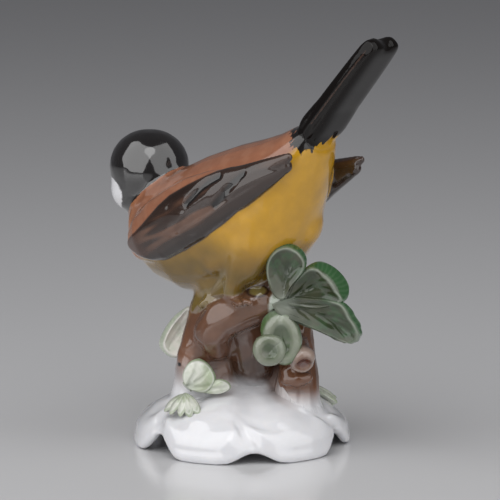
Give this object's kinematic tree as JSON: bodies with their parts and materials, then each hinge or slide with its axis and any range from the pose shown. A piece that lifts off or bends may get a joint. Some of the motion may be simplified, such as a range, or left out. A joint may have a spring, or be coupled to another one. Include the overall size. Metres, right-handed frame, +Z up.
{
  "type": "porcelain bird figurine",
  "caption": "Glazed porcelain songbird with raised tail, perched on a leafy tree stump that stands on a white lobed mound.",
  "frame": {"origin": "bottom centre of the whole figure's bounding box, on the plane that the foot stands on", "axes": "+Z up; -Y is the front, towards the viewer who sees the bird from its left and rear; +X is that viewer's right, the side that the tail and the big leaves point to"},
  "size_m": [0.0791, 0.0711, 0.1183],
  "materials": {
    "white_glaze": "white porcelain under a clear gloss glaze",
    "bark_glaze": "brown underglaze wash, fading to white at the foot, clear gloss glaze",
    "plumage_glaze": "terracotta back fading to a yellow ochre belly, hand painted, clear gloss glaze",
    "head_glaze": "black cap and throat with white cheeks, hand painted, clear gloss glaze",
    "black_glaze": "black underglaze, clear gloss glaze",
    "wing_glaze": "dark brown feathers with black edges, hand painted, clear gloss glaze",
    "leg_glaze": "brown fading up into yellow, clear gloss glaze",
    "leaf_glaze": "muted green with dark veins and pale rims, clear gloss glaze",
    "pale_leaf_glaze": "white with a pale green wash and fine veins, clear gloss glaze"
  },
  "bodies": {
    "root": {"base_mound": "white_glaze", "stump": "bark_glaze", "side_trunk": "bark_glaze", "perch_branch": "bark_glaze", "branch_stub": "bark_glaze", "trunk_knot": "bark_glaze", "bird_body": "plumage_glaze", "bird_head": "head_glaze", "beak": "black_glaze", "eye_left": "black_glaze", "eye_right": "black_glaze", "wing_left": "wing_glaze", "wing_right": "wing_glaze", "tail": "black_glaze", "leg_left": "leg_glaze", "leg_right": "leg_glaze", "leaf_stem": "leaf_glaze", "leaf_top": "leaf_glaze", "leaf_upper": "leaf_glaze", "leaf_lower": "leaf_glaze", "bud_leaf": "pale_leaf_glaze", "bud_round": "pale_leaf_glaze", "leaf_behind": "pale_leaf_glaze", "leaf_rear": "pale_leaf_glaze", "sprig_leaf_raised": "pale_leaf_glaze", "sprig_leaf_side": "pale_leaf_glaze", "sprig_leaflets": "pale_leaf_glaze"}
  },
  "joints": []
}
